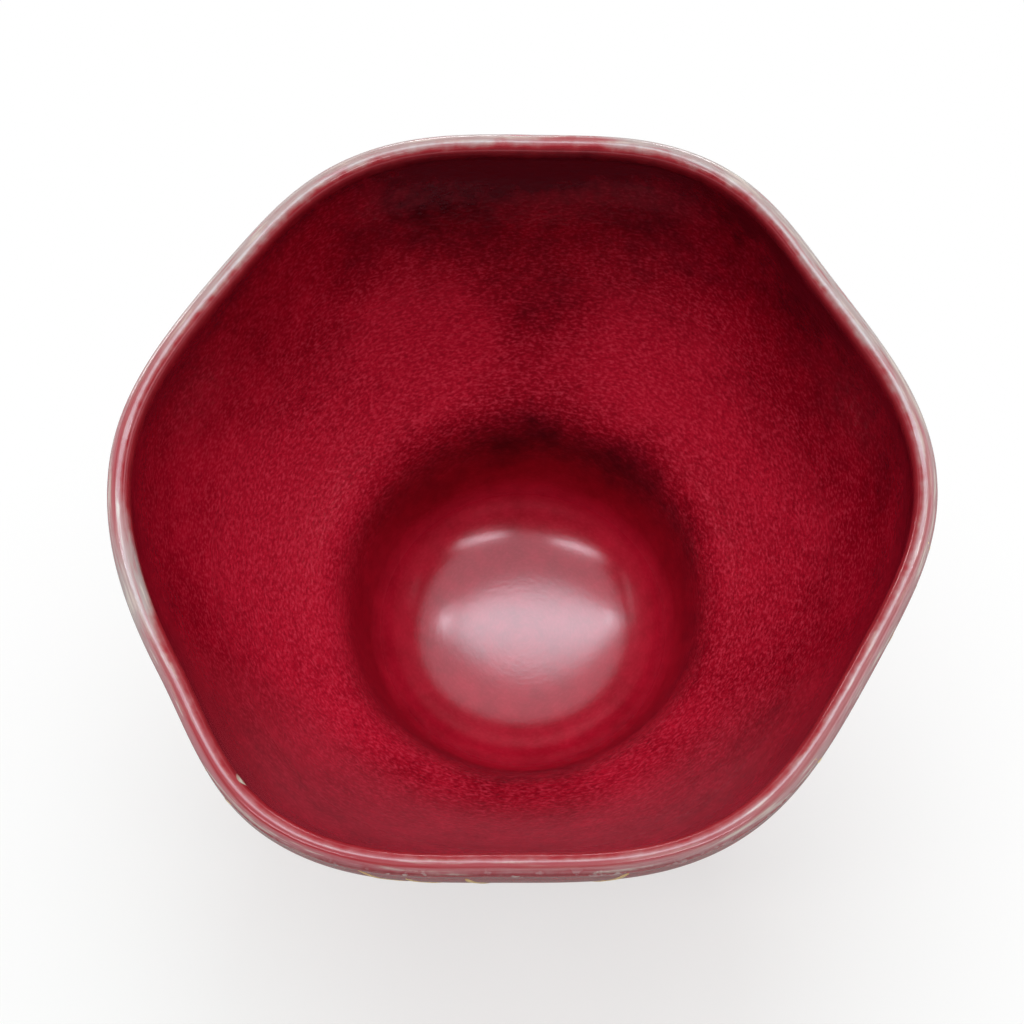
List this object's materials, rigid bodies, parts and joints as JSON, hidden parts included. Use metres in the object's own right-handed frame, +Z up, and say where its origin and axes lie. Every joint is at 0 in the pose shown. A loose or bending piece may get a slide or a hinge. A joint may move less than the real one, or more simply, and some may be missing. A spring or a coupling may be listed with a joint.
{
  "type": "tea bowl",
  "caption": "Hand-pressed hexagonal tea bowl with a sunken tea well, copper-red glaze that runs pale over the lip, gold grass blades outside and a bare foot ring.",
  "frame": {"origin": "on the table, under the centre of the foot ring", "axes": "+Z up, +X through a corner of the hexagonal lip, +Y through a pressed side, away from the picture's camera"},
  "size_m": [0.1134, 0.1093, 0.081],
  "materials": {
    "stoneware": "bare fired clay, turned, dry and matt",
    "copper_red_glaze": "glossy copper-red glaze, mottled, with a faint orange-peel skin",
    "pale_lip_glaze": "glossy thin glaze, pale pink with red streaks",
    "clear_base_glaze": "thin clear glaze over pale clay",
    "gold": "burnished overglaze gold, brushed on and fired"
  },
  "bodies": {
    "root": {"stoneware_body": "stoneware", "foot_ring": "stoneware", "inner_glaze": "copper_red_glaze", "outer_glaze": "copper_red_glaze", "lip_glaze": "pale_lip_glaze", "base_glaze": "clear_base_glaze", "gold_blade_1_1": "gold", "gold_blade_1_2": "gold", "gold_blade_1_3": "gold", "gold_blade_1_4": "gold", "gold_blade_2_1": "gold", "gold_blade_2_2": "gold", "gold_blade_2_3": "gold", "gold_blade_2_4": "gold", "gold_blade_3_1": "gold", "gold_blade_3_2": "gold", "gold_blade_3_3": "gold", "gold_blade_3_4": "gold", "gold_blade_4_1": "gold", "gold_blade_4_2": "gold", "gold_blade_4_3": "gold", "gold_blade_4_4": "gold", "gold_blade_5_1": "gold", "gold_blade_5_2": "gold", "gold_blade_5_3": "gold", "gold_blade_5_4": "gold", "gold_blade_6_1": "gold", "gold_blade_6_2": "gold", "gold_blade_6_3": "gold", "gold_blade_6_4": "gold"}
  },
  "joints": []
}
